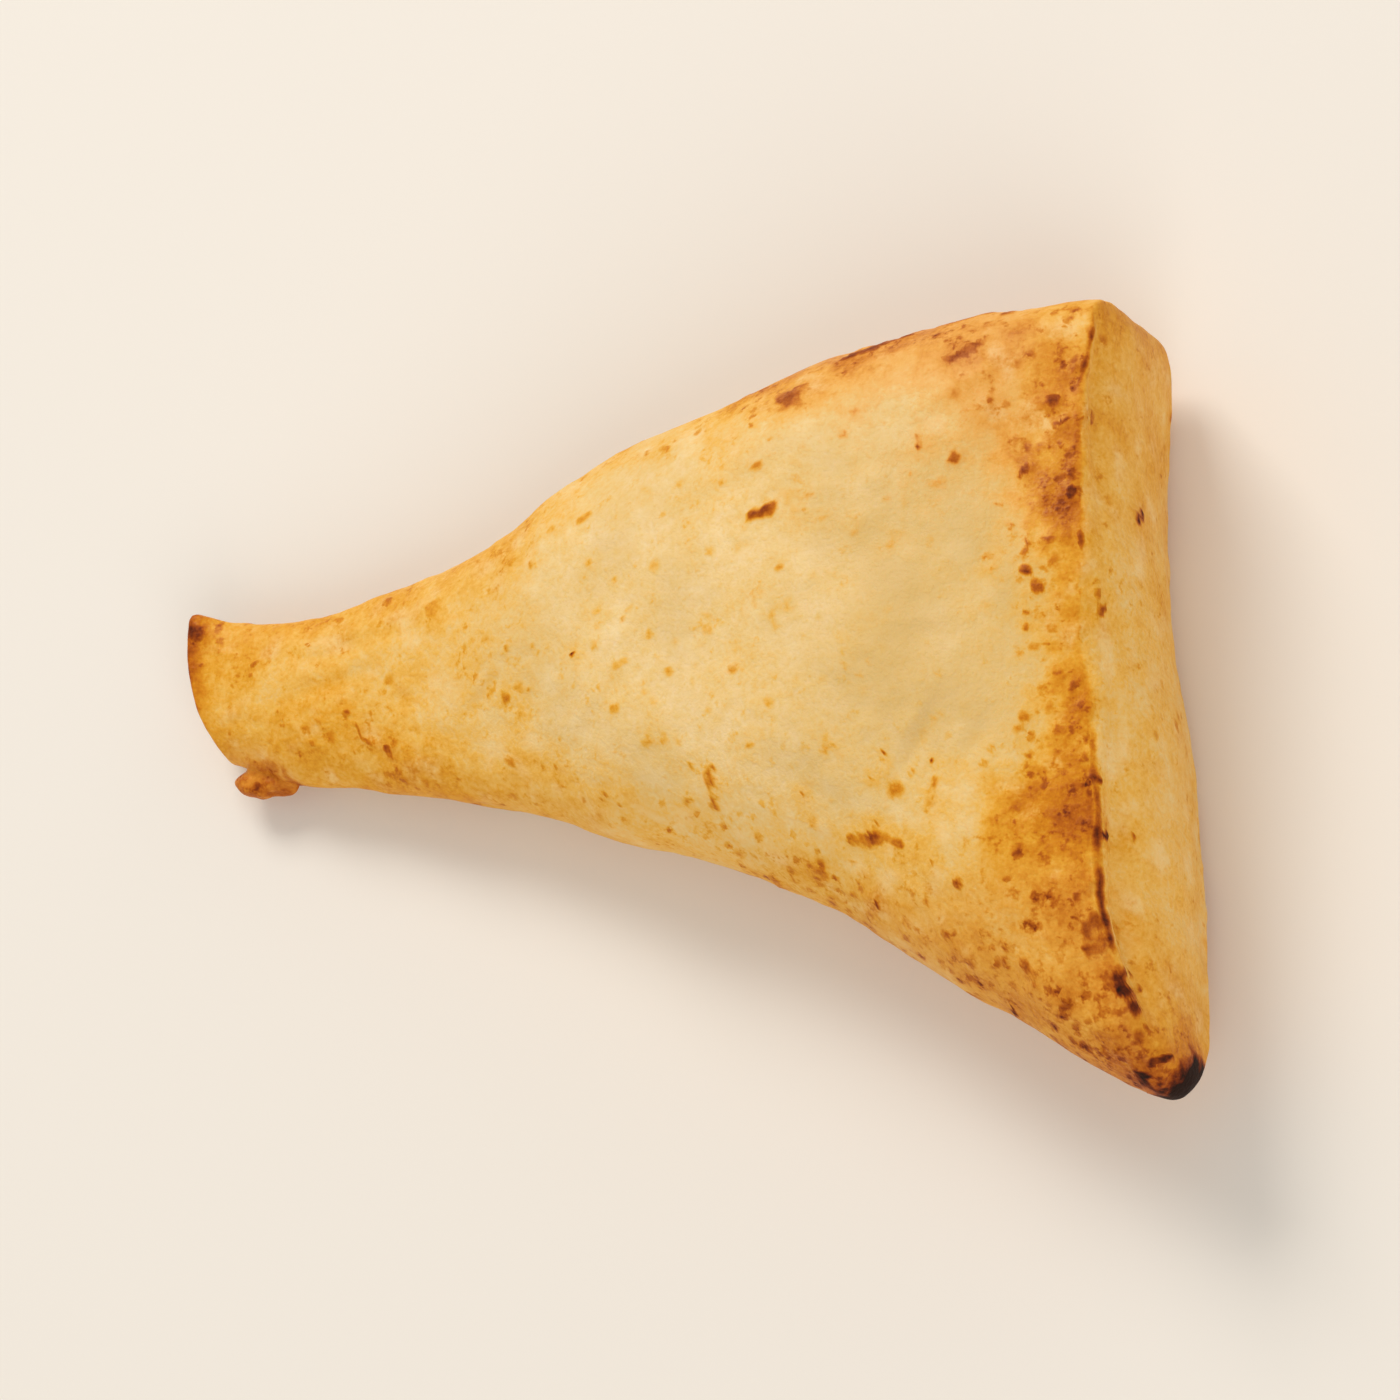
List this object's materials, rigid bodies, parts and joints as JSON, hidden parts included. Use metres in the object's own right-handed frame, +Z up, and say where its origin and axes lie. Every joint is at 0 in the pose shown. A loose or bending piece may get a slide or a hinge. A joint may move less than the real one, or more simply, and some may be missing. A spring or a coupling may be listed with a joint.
{
  "type": "samosa",
  "caption": "Three-cornered baked parcel of thin dough folded round its filling, with a crowned face, a flat wall at its filled end and a long flattened tail.",
  "frame": {"origin": "under the middle of the samosa's bounding box, on the surface that its back rests on", "axes": "+X from the tail to the wall at the filled end, +Y towards the full corner, +Z up out of the face"},
  "size_m": [0.0922, 0.0666, 0.0242],
  "materials": {
    "dough": "baked, faintly oily"
  },
  "bodies": {
    "root": {"samosa": "dough"}
  },
  "joints": []
}
